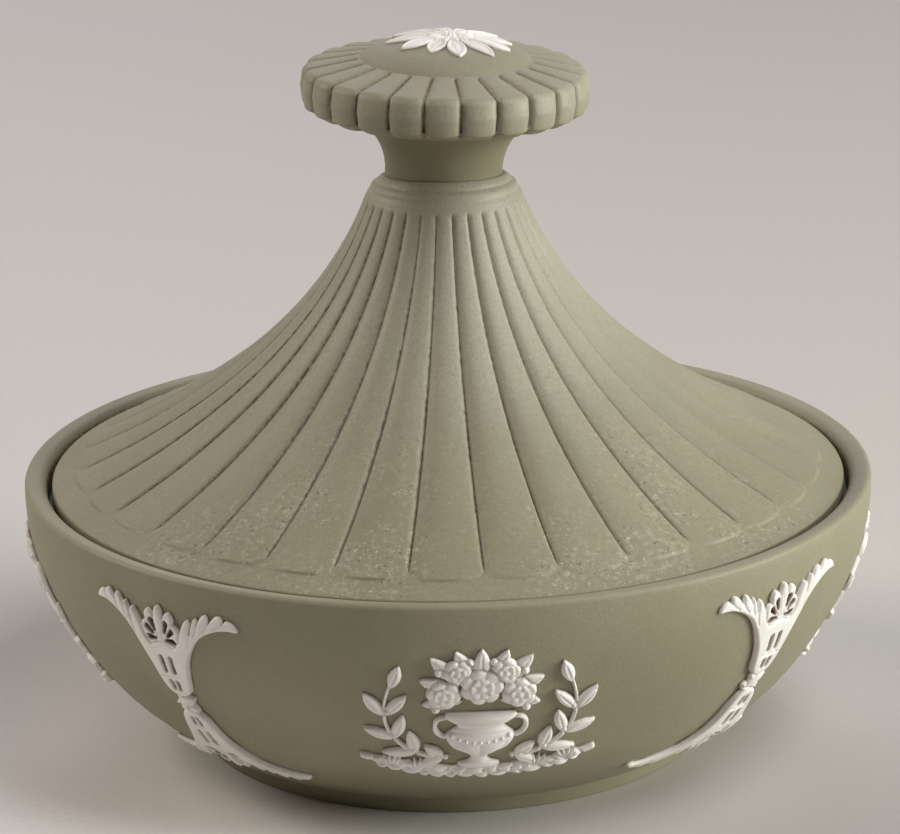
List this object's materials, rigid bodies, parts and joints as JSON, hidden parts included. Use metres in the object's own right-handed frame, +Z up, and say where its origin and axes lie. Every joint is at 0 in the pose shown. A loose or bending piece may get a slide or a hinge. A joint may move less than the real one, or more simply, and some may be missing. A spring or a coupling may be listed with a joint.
{
  "type": "powder box",
  "caption": "Round stoneware powder box: a footed bowl with white reliefs, a fluted tent-shaped lid that drops inside the rim, and a mushroom knob with a rosette.",
  "frame": {"origin": "centre of the foot ring's underside, on the surface that the box stands on", "axes": "+Z up along the axis of the bowl and lid, -Y towards the front relief, +X towards the right relief"},
  "size_m": [0.1216, 0.1216, 0.1015],
  "materials": {
    "stoneware": "matt unglazed olive-brown stoneware with a fine dry grain",
    "white_relief": "matt unglazed white stoneware, crisply moulded"
  },
  "bodies": {
    "box": {"bowl": "stoneware", "ornament_upper_front_right": "white_relief", "ornament_tie_front_right": "white_relief", "ornament_lower_front_right": "white_relief", "ornament_upper_back_right": "white_relief", "ornament_tie_back_right": "white_relief", "ornament_lower_back_right": "white_relief", "ornament_upper_back_left": "white_relief", "ornament_tie_back_left": "white_relief", "ornament_lower_back_left": "white_relief", "ornament_upper_front_left": "white_relief", "ornament_tie_front_left": "white_relief", "ornament_lower_front_left": "white_relief", "urn_front": "white_relief", "bouquet_front": "white_relief", "spray_left_front": "white_relief", "spray_right_front": "white_relief", "ground_front": "white_relief", "urn_right": "white_relief", "bouquet_right": "white_relief", "spray_left_right": "white_relief", "spray_right_right": "white_relief", "ground_right": "white_relief", "urn_back": "white_relief", "bouquet_back": "white_relief", "spray_left_back": "white_relief", "spray_right_back": "white_relief", "ground_back": "white_relief", "urn_left": "white_relief", "bouquet_left": "white_relief", "spray_left_left": "white_relief", "spray_right_left": "white_relief", "ground_left": "white_relief"},
    "cover": {"lid": "stoneware", "knob": "stoneware", "rosette": "white_relief"}
  },
  "joints": [
    {"name": "lid_lift", "type": "slide", "parent": "box", "child": "cover", "axis": [0, 0, 1], "range_m": [0, 0.09]}
  ]
}
